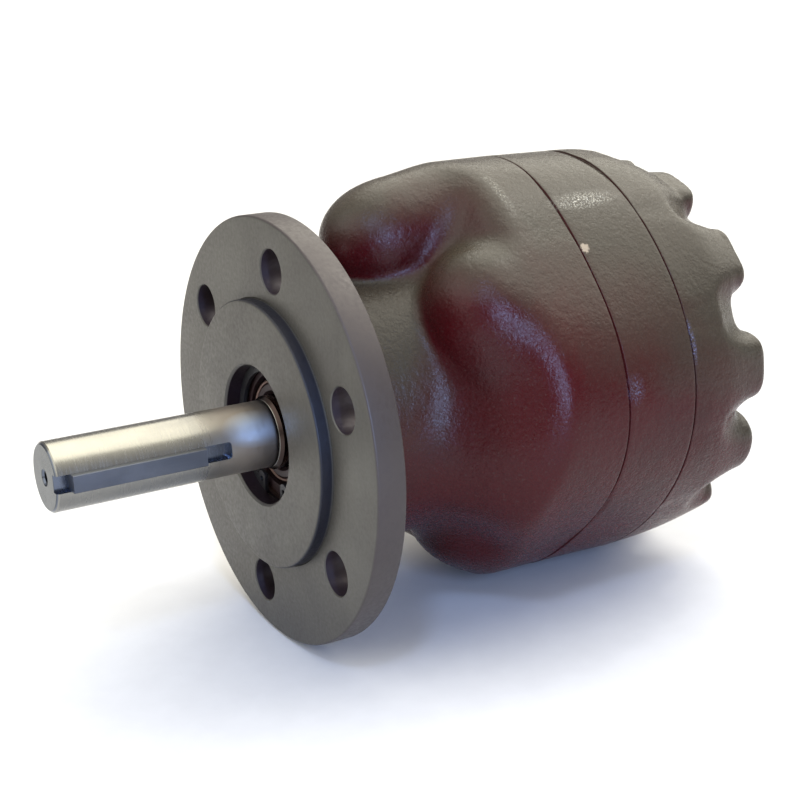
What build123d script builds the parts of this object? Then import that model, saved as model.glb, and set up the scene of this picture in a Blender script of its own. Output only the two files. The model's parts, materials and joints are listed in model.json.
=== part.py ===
from build123d import *
from math import cos, degrees, hypot, pi, radians, sin
import os

# A flange-mounted hydraulic motor with a keyed shaft, in millimetres, +Z up.
# The shaft axis is the Y axis, and the origin is where it meets the flange's front face.
# The shaft points to -Y and the cast body stands behind the flange, towards +Y.
# The rotor chamber and the body round it are centred on a second axis, above the shaft's.

# Flange and pilot
FLANGE_D = 203.2
FLANGE_T = 14.3
FLANGE_EDGE = 1.2
BOLT_TO_EDGE = 22.225
BOLT_HOLE_D = 20.64
BOLT_HOLES = 6
BOLT_START = 83.0
PILOT_D = 127.0
PILOT_H = 6.35

# Output shaft and its key
SHAFT_D = 31.75
SHAFT_REACH = 107.5
SHAFT_CHAMFER = 1.2
KEY_ANGLE = 4.0
KEY_LENGTH = 62.0
KEY_FROM_END = 6.5
KEYWAY_RUNOUT = 13.5
KEY_IN_SHAFT = 4.6
KEY_GAP = 0.05
KEY_EDGE = 0.3
KEYWAY_CORNER_R = 1.6
CENTRE_HOLE_D = 6.0
CENTRE_HOLE_DEPTH = 9.0

# Second axis and body outline
ECCENTRICITY = 11.5
SCREW_COVER = 15.6
BODY_LOBE = 4.0
REAR_FLARE = 1.0
REAR_LOBE = 2.0
BODY_LOBES = 4

# How far a cutting shape, or the foot of a joined one, runs past a face
PAST = 1.0

# Stations along the shaft axis, from the flange's front face
SHOULDER_START = 98.0
FRONT_SEAM = 130.0
RING_W = 40.0
COVER_WALL = 7.0
BOSS_H = 9.0

# Front casting forms
NECK_WALL = 16.5
NECK_FLARE = 13.0
CONE_L = 22.0
CONE_RISE = 33.6
SHOULDER_R = 12.0
TOP_NOSE_R = 26.5
TOP_NOSE_START = 36.5
TOP_NOSE_INSET = 29.6
TOP_NOSE_ANGLE = 95.0
NOSE_R = 34.0
NOSE_INSET = 35.6
NOSE_ROUND = 0.96

# Each large nose of the front casting: its direction in degrees and the station of its tip
NOSES = [(42.0, 57.0), (148.0, 57.0), (195.0, 66.0), (241.0, 66.0), (288.0, 66.0), (345.0, 69.0)]

# Rear cover: its side ends in a ridge, and a sloped band with the bosses lies behind
COVER_BAND = 17.0
COVER_SLOPE = 11.0
COVER_EDGE_R = 5.0
BOSSES = 12
BOSS_START = 8.0
BOSS_BASE_R = 18.6
BOSS_TOP_R = 14.5
BOSS_EDGE = 4.2
BOSS_SLOPE = 5.0
SCREW_WEB = 1.32
HUB_R = 24.0
HUB_TAPER = 2.0
HUB_H = 5.0

# Cover screws and dowels
SCREW_D = 10.0
SCREW_HEAD_D = 16.0
SCREW_HEAD_H = 10.0
SCREW_HEAD_EDGE = 0.8
SCREW_HEX = 8.0
SCREW_SUNK = 0.8
SCREW_GRIP = 26.0
SCREW_HOLE_GAP = 0.4
THREAD_GAP = 0.05
DOWEL_D = 7.0
DOWEL_L = 16.0
DOWEL_END_GAP = 0.5

# Rotor set
OUTER_TEETH = 5
TOOTH_SPREAD = 1.2522
TOOTH_SIZE = 2.435
ROTOR_WALL = 4.5
ROTOR_POINTS = 48
ROTOR_GAP = 0.25
ROTOR_SIDE_GAP = 0.1
SLEEVE_T = 2.4
SLEEVE_GAP = 0.08
PLATE_T = 8.0
PLATE_GAP = 0.1
ROTOR_KEY_W = 10.0
ROTOR_KEY_H = 8.0
ROTOR_KEY_SIDE = 2.5
KIDNEY_OUT = 3.0
KIDNEY_W = 11.0
KIDNEY_SWEEP = 86.0

# Steps in the shaft's radius: up to the seal, up to the bearing, down to the rotor, down again
SEAL_STEP = 1.625
BEARING_STEP = 5.0
ROTOR_STEP = 3.5
REAR_STEP = 4.0
STEP_L = 1.0
REAR_STUB = 5.0
SHAFT_GAP = 0.6

# Seal and its retaining ring
SEAL_SECTION = 15.5
BORE_EDGE = 1.0
SEAL_START = 3.4
SEAL_W = 10.0
SEAL_CASE_T = 1.5
SEAL_LIP_GAP = 0.15
LIP_INSET = 1.4
LIP_EDGE = 2.6
LIP_RELIEF = 1.6
LIP_HEEL_H = 6.0
LIP_WEB_T = 2.2
LIP_RIM_T = 4.5
SPRING_R = 0.95
SNAP_RING_T = 2.0
SNAP_RING_IN_GROOVE = 1.6
SNAP_RING_GAP = 0.1
SNAP_RING_BAND = 4.0
SNAP_RING_OPENING = 16.0
LUG_R = 4.0
LUG_HOLE_R = 1.4
LUG_ANGLE = 7.0

# Front roller bearing
FRONT_SECTION = 20.0
FRONT_BEARING_W = 19.0
FRONT_BEARING_START = 18.0
ROLLERS = 12
ROLLER_D = 10.0
RACE_GAP = 0.3
RACE_LIP = 2.5
CAGE_T = 4.0
CAGE_GAP = 0.3
CAGE_INSET = 0.5

# Rear ball bearing
REAR_SECTION = 16.0
REAR_BEARING_W = 16.0
REAR_BEARING_BACK = 3.0
WELL_STEP = 3.5
WELL_DEPTH = 8.0
BALLS = 9
BALL_D = 9.5
BALL_CAGE_T = 2.4

# Spacers
SPACER_T = 3.0
SHAFT_SPACER_T = 3.5

# Static seals
RING_SEAL_D = 2.8
SEAL_GROOVE_W = 3.4
SEAL_GROOVE_WALL = 1.6

# Ports and drain
PORT_R = 12.35
PORT_DEPTH = 20.0
PORT_FACE_R = 19.5
PORT_FACE_H = 4.0
PASSAGE_R = 7.5
DRAIN_R = 6.5
DRAIN_DEPTH = 12.0
DRAIN_PLUG_L = 11.0
DRAIN_SETBACK = 18.0
DRAIN_PASSAGE_R = 3.0
DRAIN_HEX = 6.0
DRAIN_HEX_DEPTH = 5.0
SPOT_FACE_R = 11.0
SPOT_FACE_DEPTH = 1.5

# Radii and diameters that follow from the sizes above
BOLT_CIRCLE = FLANGE_D - 2 * BOLT_TO_EDGE
KEY_W = SHAFT_D / 4
KEY_DEPTH_R = SHAFT_D / 2 - KEY_IN_SHAFT
SEAL_JOURNAL_D = SHAFT_D + 2 * SEAL_STEP
FRONT_JOURNAL_D = SEAL_JOURNAL_D + 2 * BEARING_STEP
ROTOR_SEAT_D = FRONT_JOURNAL_D - 2 * ROTOR_STEP
REAR_JOURNAL_D = ROTOR_SEAT_D - 2 * REAR_STEP
SEAL_BORE_D = SEAL_JOURNAL_D + 2 * SEAL_SECTION
FRONT_BEARING_D = FRONT_JOURNAL_D + 2 * FRONT_SECTION
REAR_BEARING_D = REAR_JOURNAL_D + 2 * REAR_SECTION
FRONT_PITCH_R = (FRONT_BEARING_D + FRONT_JOURNAL_D) / 4
REAR_PITCH_R = (REAR_BEARING_D + REAR_JOURNAL_D) / 4
TOOTH_CENTRE_R = OUTER_TEETH * TOOTH_SPREAD * ECCENTRICITY
TOOTH_R = TOOTH_SIZE * ECCENTRICITY
TOOTH_TIP_R = TOOTH_CENTRE_R - TOOTH_R
KIDNEY_R = TOOTH_TIP_R + KIDNEY_OUT
ROOT_R = TOOTH_TIP_R + 2 * ECCENTRICITY + ROTOR_GAP
ROTOR_R = ROOT_R + ROTOR_WALL
SLEEVE_R = ROTOR_R + SLEEVE_GAP + SLEEVE_T
CHAMBER_R = SLEEVE_R + THREAD_GAP
SEAL_GROOVE_R = CHAMBER_R + SEAL_GROOVE_WALL + SEAL_GROOVE_W / 2
SCREW_HOLE_R = SCREW_D / 2 + SCREW_HOLE_GAP
BOSS_SCREW_R = SEAL_GROOVE_R + SEAL_GROOVE_W / 2 + SCREW_WEB + SCREW_HOLE_R
BODY_R = BOSS_SCREW_R + SCREW_COVER
REAR_BODY_R = BODY_R + REAR_FLARE
NECK_R = FRONT_BEARING_D / 2 + NECK_WALL
TOP_NOSE_OUT = BODY_R - TOP_NOSE_INSET
NOSE_OUT = BODY_R - NOSE_INSET

# Stations that follow from the sizes above
SHAFT_END = -SHAFT_REACH
SEAL_END = SEAL_START + SEAL_W
FRONT_BEARING_END = FRONT_BEARING_START + FRONT_BEARING_W
PLATE_FRONT = FRONT_SEAM - PLATE_T
DRAIN_Y = FRONT_SEAM - DRAIN_SETBACK
REAR_SEAM = FRONT_SEAM + RING_W
PLATE_BACK = REAR_SEAM + PLATE_T
REAR_BEARING_START = PLATE_BACK + REAR_BEARING_BACK
REAR_BEARING_END = REAR_BEARING_START + REAR_BEARING_W
WELL_END = REAR_BEARING_END + WELL_DEPTH
COVER_BACK = WELL_END + COVER_WALL
RIDGE_Y = COVER_BACK - COVER_BAND
BOSS_FACE = COVER_BACK + BOSS_H
HUB_FACE = COVER_BACK + HUB_H
PORT_FACE = COVER_BACK + PORT_FACE_H
SCREW_SEAT = BOSS_FACE - SCREW_HEAD_H - SCREW_SUNK
SCREW_TIP = FRONT_SEAM - SCREW_GRIP


def station(y):
    """The plane across the motor at y, seen from the shaft end: X right, Z up."""
    return Plane(origin=(0, y, 0), x_dir=(1, 0, 0), z_dir=(0, -1, 0))


def slab(sketch, y0, y1):
    """A sketch across the motor, drawn out from station y0 to station y1."""
    return extrude(station(y1) * sketch, y1 - y0)


def rod(radius, y0, y1, x=0.0, z=0.0):
    """A round bar along the motor, its centre at x, z."""
    return slab(Pos(x, z) * Circle(radius), y0, y1)


def tube(inner, outer, y0, y1):
    """A round sleeve about the shaft axis."""
    return slab(Circle(outer) - Circle(inner), y0, y1)


def taper(r0, r1, y0, y1, rise=0.0):
    """A cone along the motor, whose far end lies higher than its near end by the rise."""
    return loft([station(y0) * Circle(r0), station(y1) * Pos(0, rise) * Circle(r1)], ruled=True)


def turned(points):
    """A closed (radius, y) outline turned about the shaft axis."""
    return revolve(make_face(Polyline(*points, close=True)), Axis.Y)


def raised(shape):
    """A shape drawn about the shaft axis, moved up to the rotor chamber's axis."""
    return Pos(0, 0, ECCENTRICITY) * shape


def around(count, start, radius):
    """Equally spaced (x, z) places on a circle, start in degrees from +X towards +Z."""
    angles = [radians(start + index * 360.0 / count) for index in range(count)]
    return [(radius * cos(angle), radius * sin(angle)) for angle in angles]


def lobed_outline(mean, lobe):
    """The body's outline about its own axis: a circle that swells into four low lobes."""
    steps = 4 * BODY_LOBES
    points = []
    for index in range(steps):
        angle = 2 * pi * index / steps
        radius = mean + lobe * cos(BODY_LOBES * angle)
        points.append((radius * cos(angle), radius * sin(angle)))
    return make_face(Spline(*points, periodic=True))


def front_edge(shape):
    """The round edge that lies furthest to the front of a shape."""
    return shape.edges().filter_by(GeomType.CIRCLE).sort_by(Axis.Y)[:1]


def rear_edge(shape):
    """The round edge that lies furthest to the rear of a shape."""
    return shape.edges().filter_by(GeomType.CIRCLE).sort_by(Axis.Y)[-1:]


def nose(radius, start, out, angle):
    """One rounded nose of the front casting, running back into the body's shell."""
    bar = rod(radius, start, FRONT_SEAM, x=out * cos(radians(angle)), z=out * sin(radians(angle)))
    return fillet(front_edge(bar), radius * NOSE_ROUND)


def front_shell():
    """Shell, neck and noses of the front casting, about the body's axis."""
    outline = lobed_outline(BODY_R, BODY_LOBE)
    cone_end = station(SHOULDER_START) * outline
    cone_start = station(SHOULDER_START - CONE_L) * Circle(BODY_R - CONE_RISE)
    shell = loft([cone_start, cone_end]) + slab(outline, SHOULDER_START, FRONT_SEAM)
    shoulder = [one for one in shell.edges() if abs(one.center().Y - SHOULDER_START) < PAST]
    shell = fillet(shoulder, SHOULDER_R)
    noses = [nose(TOP_NOSE_R, TOP_NOSE_START, TOP_NOSE_OUT, TOP_NOSE_ANGLE)]
    noses += [nose(NOSE_R, start, NOSE_OUT, angle) for angle, start in NOSES]
    wall = slab(outline, TOP_NOSE_START - PAST, FRONT_SEAM)
    shell += [one & wall for one in noses]
    neck = taper(NECK_R, NECK_R + NECK_FLARE, FLANGE_T, SHOULDER_START, ECCENTRICITY)
    return raised(shell) + neck


def screw_places():
    """Centres of the cover screws, about the body's axis."""
    return around(BOSSES, BOSS_START, BOSS_SCREW_R)


def dowel_places():
    """Centres of the two dowels at each seam, between screws on opposite sides."""
    return around(2, BOSS_START + 180.0 / BOSSES, BOSS_SCREW_R)


def drain_side(x):
    """The plane at x across the drain hole, which runs inwards from the -X side."""
    return Plane(origin=(x, DRAIN_Y, ECCENTRICITY), x_dir=(0, 1, 0), z_dir=(1, 0, 0))


def drain_cuts():
    """Spot face, threaded hole and passage to the space round the shaft."""
    face_x = -(BODY_R + BODY_LOBE)
    start = drain_side(face_x - PAST)
    floor = SPOT_FACE_DEPTH + DRAIN_DEPTH
    spot = extrude(start * Circle(SPOT_FACE_R), SPOT_FACE_DEPTH + PAST)
    hole = extrude(start * Circle(DRAIN_R), floor + PAST)
    reach = ECCENTRICITY - FRONT_BEARING_D / 2 - face_x - floor
    passage = extrude(drain_side(face_x + floor - PAST) * Circle(DRAIN_PASSAGE_R), reach)
    return [spot, hole, passage]


def seal_groove(face_y):
    """Ring groove that opens to a seam at face_y, towards the front."""
    inner = SEAL_GROOVE_R - SEAL_GROOVE_W / 2
    return tube(inner, inner + SEAL_GROOVE_W, face_y - RING_SEAL_D, face_y)


def make_front_housing():
    pilot = rod(PILOT_D / 2, -PILOT_H, 0)
    pilot = chamfer(front_edge(pilot), FLANGE_EDGE)
    flange = rod(FLANGE_D / 2, 0, FLANGE_T)
    flange = chamfer(flange.edges().filter_by(GeomType.CIRCLE), FLANGE_EDGE)
    body = front_shell() + [pilot, flange]
    cuts = []
    for x, z in around(BOLT_HOLES, BOLT_START, BOLT_CIRCLE / 2):
        cuts.append(rod(BOLT_HOLE_D / 2, -PILOT_H - PAST, FLANGE_T + PAST, x, z))
    seal_r = SEAL_BORE_D / 2
    bore = [
        (0, -PILOT_H - PAST),
        (seal_r + BORE_EDGE, -PILOT_H - PAST),
        (seal_r + BORE_EDGE, -PILOT_H),
        (seal_r, -PILOT_H + BORE_EDGE),
        (seal_r, SEAL_START - SNAP_RING_T),
        (seal_r + SNAP_RING_IN_GROOVE, SEAL_START - SNAP_RING_T),
        (seal_r + SNAP_RING_IN_GROOVE, SEAL_START),
        (seal_r, SEAL_START),
        (seal_r, SEAL_END),
        (FRONT_JOURNAL_D / 2 + SHAFT_GAP, SEAL_END),
        (FRONT_JOURNAL_D / 2 + SHAFT_GAP, FRONT_BEARING_START),
        (FRONT_BEARING_D / 2, FRONT_BEARING_START),
        (FRONT_BEARING_D / 2, FRONT_SEAM + PAST),
        (0, FRONT_SEAM + PAST),
    ]
    cuts.append(turned(bore))
    cuts.append(raised(rod(CHAMBER_R, PLATE_FRONT, FRONT_SEAM + PAST)))
    cuts.append(raised(seal_groove(FRONT_SEAM)))
    for x, z in screw_places():
        drilled = SCREW_TIP - SCREW_D / 2
        cuts.append(raised(rod(SCREW_D / 2, drilled, FRONT_SEAM + PAST, x, z)))
    for x, z in dowel_places():
        drilled = FRONT_SEAM - DOWEL_L / 2
        cuts.append(raised(rod(DOWEL_D / 2, drilled, FRONT_SEAM + PAST, x, z)))
    return body - cuts - drain_cuts()


def make_rotor_ring():
    front = station(FRONT_SEAM) * lobed_outline(BODY_R, BODY_LOBE)
    back = station(REAR_SEAM) * lobed_outline(REAR_BODY_R, REAR_LOBE)
    ring = loft([front, back])
    cuts = [rod(CHAMBER_R, FRONT_SEAM - PAST, REAR_SEAM + PAST), seal_groove(REAR_SEAM)]
    for x, z in screw_places():
        cuts.append(rod(SCREW_HOLE_R, FRONT_SEAM - PAST, REAR_SEAM + PAST, x, z))
    for x, z in dowel_places():
        cuts.append(rod(DOWEL_D / 2, FRONT_SEAM - PAST, REAR_SEAM + PAST, x, z))
    return raised(ring - cuts)


def cover_boss(x, z):
    """One tapered screw boss with a rounded top edge, its outer side in line with the cover's."""
    base = station(RIDGE_Y) * Pos(x, z) * Circle(BOSS_BASE_R)
    top = station(BOSS_FACE) * Pos(x, z) * Circle(BOSS_TOP_R)
    boss = loft([base, top], ruled=True)
    ridge = station(RIDGE_Y) * lobed_outline(REAR_BODY_R, REAR_LOBE)
    rim = station(BOSS_FACE) * lobed_outline(REAR_BODY_R - BOSS_SLOPE, REAR_LOBE)
    return fillet(rear_edge(boss), BOSS_EDGE) & loft([ridge, rim])


def port_places():
    """Centres of the two ports, one behind each kidney slot."""
    return [(KIDNEY_R, 0.0), (-KIDNEY_R, 0.0)]


def make_rear_cover():
    side = slab(lobed_outline(REAR_BODY_R, REAR_LOBE), REAR_SEAM, RIDGE_Y)
    ridge = station(RIDGE_Y) * lobed_outline(REAR_BODY_R, REAR_LOBE)
    back = station(COVER_BACK) * lobed_outline(REAR_BODY_R - COVER_SLOPE, REAR_LOBE)
    band = loft([ridge, back])
    band = fillet(band.faces().sort_by(Axis.Y)[-1].edges(), COVER_EDGE_R)
    cover = side + band
    forms = [cover_boss(x, z) for x, z in screw_places()]
    cuts = [rod(CHAMBER_R, REAR_SEAM - PAST, PLATE_BACK)]
    for x, z in port_places():
        forms.append(rod(PORT_FACE_R, COVER_BACK - PAST, PORT_FACE, x, z))
        cuts.append(rod(PORT_R, PORT_FACE - PORT_DEPTH, PORT_FACE + PAST, x, z))
        cuts.append(rod(PASSAGE_R, PLATE_BACK - PAST, PORT_FACE, x, z))
    for x, z in screw_places():
        head_hole = SCREW_HEAD_D / 2 + SCREW_HOLE_GAP
        cuts.append(rod(SCREW_HOLE_R, REAR_SEAM - PAST, BOSS_FACE + PAST, x, z))
        cuts.append(rod(head_hole, SCREW_SEAT, BOSS_FACE + PAST, x, z))
    for x, z in dowel_places():
        cuts.append(rod(DOWEL_D / 2, REAR_SEAM - PAST, REAR_SEAM + DOWEL_L / 2, x, z))
    cover = raised(cover + forms - cuts)
    hub = taper(HUB_R, HUB_R - HUB_TAPER, COVER_BACK - PAST, HUB_FACE)
    cover += fillet(rear_edge(hub), HUB_TAPER)
    bearing_r = REAR_BEARING_D / 2
    well = [
        (0, PLATE_BACK - PAST),
        (bearing_r, PLATE_BACK - PAST),
        (bearing_r, REAR_BEARING_END),
        (bearing_r - WELL_STEP, REAR_BEARING_END),
        (bearing_r - WELL_STEP, WELL_END),
        (0, WELL_END),
    ]
    return cover - turned(well)


def ring_seal(face_y):
    """Round ring seal seated in its groove at a seam."""
    section = Pos(SEAL_GROOVE_R, face_y - RING_SEAL_D / 2) * Circle(RING_SEAL_D / 2)
    return raised(revolve(section, Axis.Y))


def kidney(side):
    """Curved port slot in a wear plate, on the +X or -X side."""
    half = KIDNEY_SWEEP / 2
    arc = CenterArc((0, 0), KIDNEY_R, -half if side > 0 else 180 - half, KIDNEY_SWEEP)
    return SlotArc(arc, KIDNEY_W)


def wear_plate(y0, y1, hole, kidneys):
    """Flat plate that closes one side of the rotor chamber."""
    plate = rod(CHAMBER_R - PLATE_GAP, y0, y1)
    if kidneys:
        for side in (1, -1):
            plate -= slab(kidney(side), y0 - PAST, y1 + PAST)
    return raised(plate) - rod(hole, y0 - PAST, y1 + PAST)


def make_screws():
    """Socket-head cover screws, heads sunk in the bosses."""
    screws = []
    for x, z in screw_places():
        head_end = SCREW_SEAT + SCREW_HEAD_H
        shank = rod(SCREW_D / 2 - THREAD_GAP, SCREW_TIP, SCREW_SEAT + PAST, x, z)
        head = rod(SCREW_HEAD_D / 2, SCREW_SEAT, head_end, x, z)
        head = chamfer(rear_edge(head), SCREW_HEAD_EDGE)
        hexagon = Pos(x, z) * RegularPolygon(SCREW_HEX / 2, 6, major_radius=False)
        socket = slab(hexagon, head_end - SCREW_HEAD_H / 2, head_end + PAST)
        screws.append(raised(shank + head - socket))
    return Compound(screws)


def make_dowels():
    """Two dowels across each seam."""
    pins = []
    radius = DOWEL_D / 2 - THREAD_GAP
    half = DOWEL_L / 2 - DOWEL_END_GAP
    for face_y in (FRONT_SEAM, REAR_SEAM):
        for x, z in dowel_places():
            pins.append(raised(rod(radius, face_y - half, face_y + half, x, z)))
    return Compound(pins)


def make_drain_plug():
    """Threaded plug in the drain hole, with a hexagon socket."""
    side = drain_side(SPOT_FACE_DEPTH - BODY_R - BODY_LOBE)
    plug = extrude(side * Circle(DRAIN_R - THREAD_GAP), DRAIN_PLUG_L)
    hexagon = side * RegularPolygon(DRAIN_HEX / 2, 6, major_radius=False)
    return plug - extrude(hexagon, DRAIN_HEX_DEPTH)


def bearing_races(inner_r, outer_r, rolling_r, rolling_d, y0, y1, balls):
    """Inner and outer race. Their tracks stay clear of the rolling pieces by the race gap."""
    inner_top = rolling_r - rolling_d / 2 - RACE_GAP
    outer_low = rolling_r + rolling_d / 2 + RACE_GAP
    lip = RACE_LIP
    if balls:
        track = Pos(rolling_r, (y0 + y1) / 2) * Circle(rolling_d / 2 + RACE_GAP)
        track = revolve(track, Axis.Y)
        inner = tube(inner_r, inner_top + lip, y0, y1) - track
        outer = tube(outer_low - lip, outer_r, y0, y1) - track
        return inner, outer
    inner = tube(inner_r, inner_top + lip, y0, y1)
    inner -= tube(inner_top, inner_top + lip + PAST, y0 + lip, y1 - lip)
    outer = tube(outer_low - lip, outer_r, y0, y1)
    outer -= tube(outer_low - lip - PAST, outer_low, y0 + lip, y1 - lip)
    return inner, outer


def make_front_bearing():
    """Roller bearing behind the seal: inner race, outer race, cage and rollers."""
    y0 = FRONT_BEARING_START
    y1 = FRONT_BEARING_END
    bore_r = FRONT_JOURNAL_D / 2
    outer_r = FRONT_BEARING_D / 2
    inner, outer = bearing_races(bore_r, outer_r, FRONT_PITCH_R, ROLLER_D, y0, y1, False)
    ends = RACE_LIP + CAGE_GAP
    half = CAGE_T / 2
    cage = tube(FRONT_PITCH_R - half, FRONT_PITCH_R + half, y0 + CAGE_INSET, y1 - CAGE_INSET)
    pockets = []
    rollers = []
    for x, z in around(ROLLERS, 0, FRONT_PITCH_R):
        pockets.append(rod(ROLLER_D / 2 + CAGE_GAP, y0 + ends, y1 - ends, x, z))
        rollers.append(rod(ROLLER_D / 2, y0 + ends + CAGE_GAP, y1 - ends - CAGE_GAP, x, z))
    return inner, outer, cage - pockets, Compound(rollers)


def make_rear_bearing():
    """Ball bearing in the rear cover: inner race, outer race, cage and balls."""
    y0 = REAR_BEARING_START
    y1 = REAR_BEARING_END
    middle = (y0 + y1) / 2
    bore_r = REAR_JOURNAL_D / 2
    outer_r = REAR_BEARING_D / 2
    inner, outer = bearing_races(bore_r, outer_r, REAR_PITCH_R, BALL_D, y0, y1, True)
    side = BALL_CAGE_T / 2
    half = BALL_D / 2 + side
    cage = tube(REAR_PITCH_R - side, REAR_PITCH_R + side, middle - half, middle + half)
    balls = []
    pockets = []
    for index, (x, z) in enumerate(around(BALLS, 0, REAR_PITCH_R)):
        pocket = Rot(0, 90, 0) * Cylinder(BALL_D / 2 + CAGE_GAP, BALL_D)
        pockets.append(Rot(0, -index * 360.0 / BALLS, 0) * Pos(REAR_PITCH_R, middle, 0) * pocket)
        balls.append(Pos(x, middle, z) * Sphere(BALL_D / 2))
    return inner, outer, cage - pockets, Compound(balls)


def make_seal():
    """Shaft seal: pressed steel case, rubber lip and the garter spring round the lip."""
    outer = SEAL_BORE_D / 2
    inside = outer - SEAL_CASE_T
    back = SEAL_END - SEAL_CASE_T
    lip_r = SEAL_JOURNAL_D / 2 + SEAL_LIP_GAP
    case_hole = lip_r + LIP_HEEL_H
    case = turned([
        (outer, SEAL_START), (outer, SEAL_END), (case_hole, SEAL_END),
        (case_hole, back), (inside, back), (inside, SEAL_START),
    ])
    lip_front = SEAL_START + LIP_INSET
    web = back - LIP_WEB_T
    lip = turned([
        (lip_r, lip_front + LIP_EDGE), (lip_r + LIP_RELIEF, back), (inside, back),
        (inside, lip_front), (inside - LIP_RIM_T, lip_front), (inside - LIP_RIM_T, web),
        (lip_r + LIP_HEEL_H, web), (lip_r + LIP_HEEL_H - LIP_RELIEF, lip_front),
        (lip_r + LIP_RELIEF, lip_front),
    ])
    spring_at = Pos(lip_r + LIP_HEEL_H, lip_front + SPRING_R)
    spring = revolve(spring_at * Circle(SPRING_R), Axis.Y)
    lip -= revolve(spring_at * Circle(SPRING_R + THREAD_GAP), Axis.Y)
    return case, lip, spring


def snap_ring_lugs(radius):
    """Places of the snap ring's two lugs, one each side of its opening at the bottom."""
    half = degrees(SNAP_RING_OPENING / 2 / radius) + LUG_ANGLE
    turns = [radians(270 - half), radians(270 + half)]
    return [(radius * cos(turn), radius * sin(turn)) for turn in turns]


def make_snap_ring():
    """Internal retaining ring in front of the seal, open at the bottom, with two lug holes."""
    outer = SEAL_BORE_D / 2 + SNAP_RING_IN_GROOVE - SNAP_RING_GAP
    inner = SEAL_BORE_D / 2 - SNAP_RING_BAND
    y0 = SEAL_START - SNAP_RING_T + SNAP_RING_GAP / 2
    y1 = SEAL_START - SNAP_RING_GAP / 2
    ring = tube(inner, outer, y0, y1)
    for x, z in snap_ring_lugs(inner):
        ring += rod(LUG_R, y0, y1, x, z)
    opening = slab(Pos(0, -outer) * Rectangle(SNAP_RING_OPENING, outer), y0 - PAST, y1 + PAST)
    ring -= opening
    for x, z in snap_ring_lugs(inner):
        ring -= rod(LUG_HOLE_R, y0 - PAST, y1 + PAST, x, z)
    return ring


def keyed(shape):
    """A shape drawn with its key towards +X, turned to the key's own direction."""
    return Rot(0, -KEY_ANGLE, 0) * shape


def make_output_shaft():
    half = SHAFT_D / 2
    seat = ROTOR_SEAT_D / 2
    seal_r = SEAL_JOURNAL_D / 2
    front_r = FRONT_JOURNAL_D / 2
    rear_r = REAR_JOURNAL_D / 2
    rear_end = REAR_BEARING_END + REAR_STUB
    shaft = turned([
        (0, SHAFT_END),
        (half - SHAFT_CHAMFER, SHAFT_END),
        (half, SHAFT_END + SHAFT_CHAMFER),
        (half, half - seal_r),
        (seal_r, 0),
        (seal_r, FRONT_BEARING_START - 2 * STEP_L),
        (front_r, FRONT_BEARING_START - STEP_L),
        (front_r, PLATE_FRONT - 2 * STEP_L),
        (seat, PLATE_FRONT - STEP_L),
        (seat, PLATE_BACK - STEP_L),
        (rear_r, PLATE_BACK),
        (rear_r, rear_end - SHAFT_CHAMFER),
        (rear_r - SHAFT_CHAMFER, rear_end),
        (0, rear_end),
    ])
    centre_r = CENTRE_HOLE_D / 2
    drill = turned([
        (0, SHAFT_END - PAST),
        (centre_r + PAST, SHAFT_END - PAST),
        (centre_r + PAST, SHAFT_END),
        (centre_r, SHAFT_END + PAST),
        (centre_r, SHAFT_END + CENTRE_HOLE_DEPTH),
        (0, SHAFT_END + CENTRE_HOLE_DEPTH + centre_r),
    ])
    keyway_start = SHAFT_END - PAST
    keyway_end = SHAFT_END + KEY_FROM_END + KEY_LENGTH + KEYWAY_RUNOUT
    keyway_top = half + PAST
    block = Box(keyway_top - KEY_DEPTH_R, keyway_end - keyway_start, KEY_W)
    keyway = Pos((KEY_DEPTH_R + keyway_top) / 2, (keyway_start + keyway_end) / 2) * block
    keyway = fillet(keyway.edges().filter_by(Axis.X).sort_by(Axis.Y)[-2:], KEYWAY_CORNER_R)
    return shaft - drill - keyed(keyway) - rotor_key_box(0.0)


def make_output_key():
    block = Box(KEY_W - KEY_GAP, KEY_LENGTH, KEY_W - KEY_GAP)
    key = Pos(KEY_DEPTH_R + KEY_W / 2, SHAFT_END + KEY_FROM_END + KEY_LENGTH / 2) * block
    return keyed(chamfer(key.edges().filter_by(Axis.Y), KEY_EDGE))


def rotor_key_box(gap):
    """Block of the rotor key, smaller all round by the gap."""
    inside = ROTOR_SEAT_D / 2 - ROTOR_KEY_H / 2
    length = RING_W - 2 * ROTOR_KEY_SIDE
    block = Box(ROTOR_KEY_W - 2 * gap, length - 2 * gap, ROTOR_KEY_H - 2 * gap)
    return Pos(0, (FRONT_SEAM + REAR_SEAM) / 2, inside + ROTOR_KEY_H / 2) * block


def tooth_path(angle):
    """Where the centre of an outer tooth passes, seen from the inner rotor."""
    x = TOOTH_CENTRE_R * cos(angle) - ECCENTRICITY * cos(OUTER_TEETH * angle)
    z = TOOTH_CENTRE_R * sin(angle) - ECCENTRICITY * sin(OUTER_TEETH * angle)
    dx = -TOOTH_CENTRE_R * sin(angle) + ECCENTRICITY * OUTER_TEETH * sin(OUTER_TEETH * angle)
    dz = TOOTH_CENTRE_R * cos(angle) - ECCENTRICITY * OUTER_TEETH * cos(OUTER_TEETH * angle)
    return x, z, dx, dz


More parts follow.
